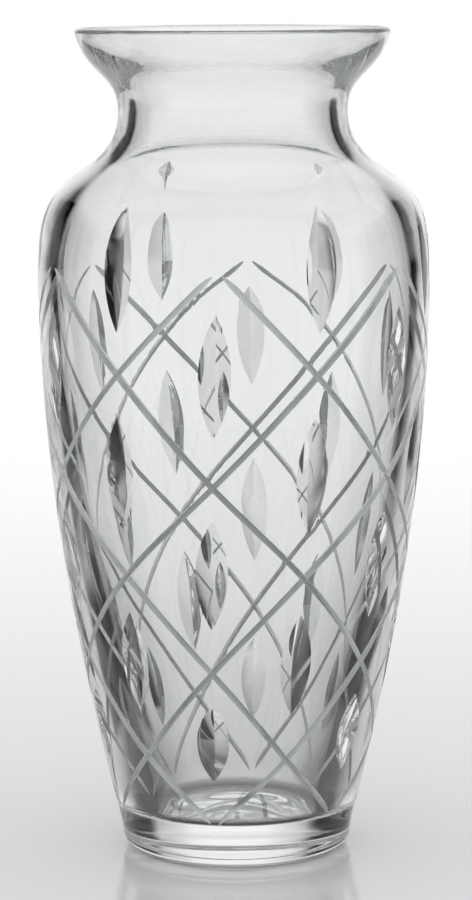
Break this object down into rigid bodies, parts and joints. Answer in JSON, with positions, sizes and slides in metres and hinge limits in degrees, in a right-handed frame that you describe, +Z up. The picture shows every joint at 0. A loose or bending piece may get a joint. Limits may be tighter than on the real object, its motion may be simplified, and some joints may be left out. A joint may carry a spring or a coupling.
{
  "type": "vase",
  "caption": "Tall clear cut-glass vase with a round foot, swelling body, high shoulder, narrow neck and flared lip, cut with a diamond lattice and lens cuts.",
  "frame": {"origin": "on the table plane, at the centre of the foot ring", "axes": "+Z up the vase's axis towards its mouth, -Y towards the viewer"},
  "size_m": [0.1182, 0.1182, 0.25],
  "materials": {
    "crystal": "clear polished lead crystal with matte cut lines"
  },
  "bodies": {
    "root": {"vase_body": "crystal"}
  },
  "joints": []
}
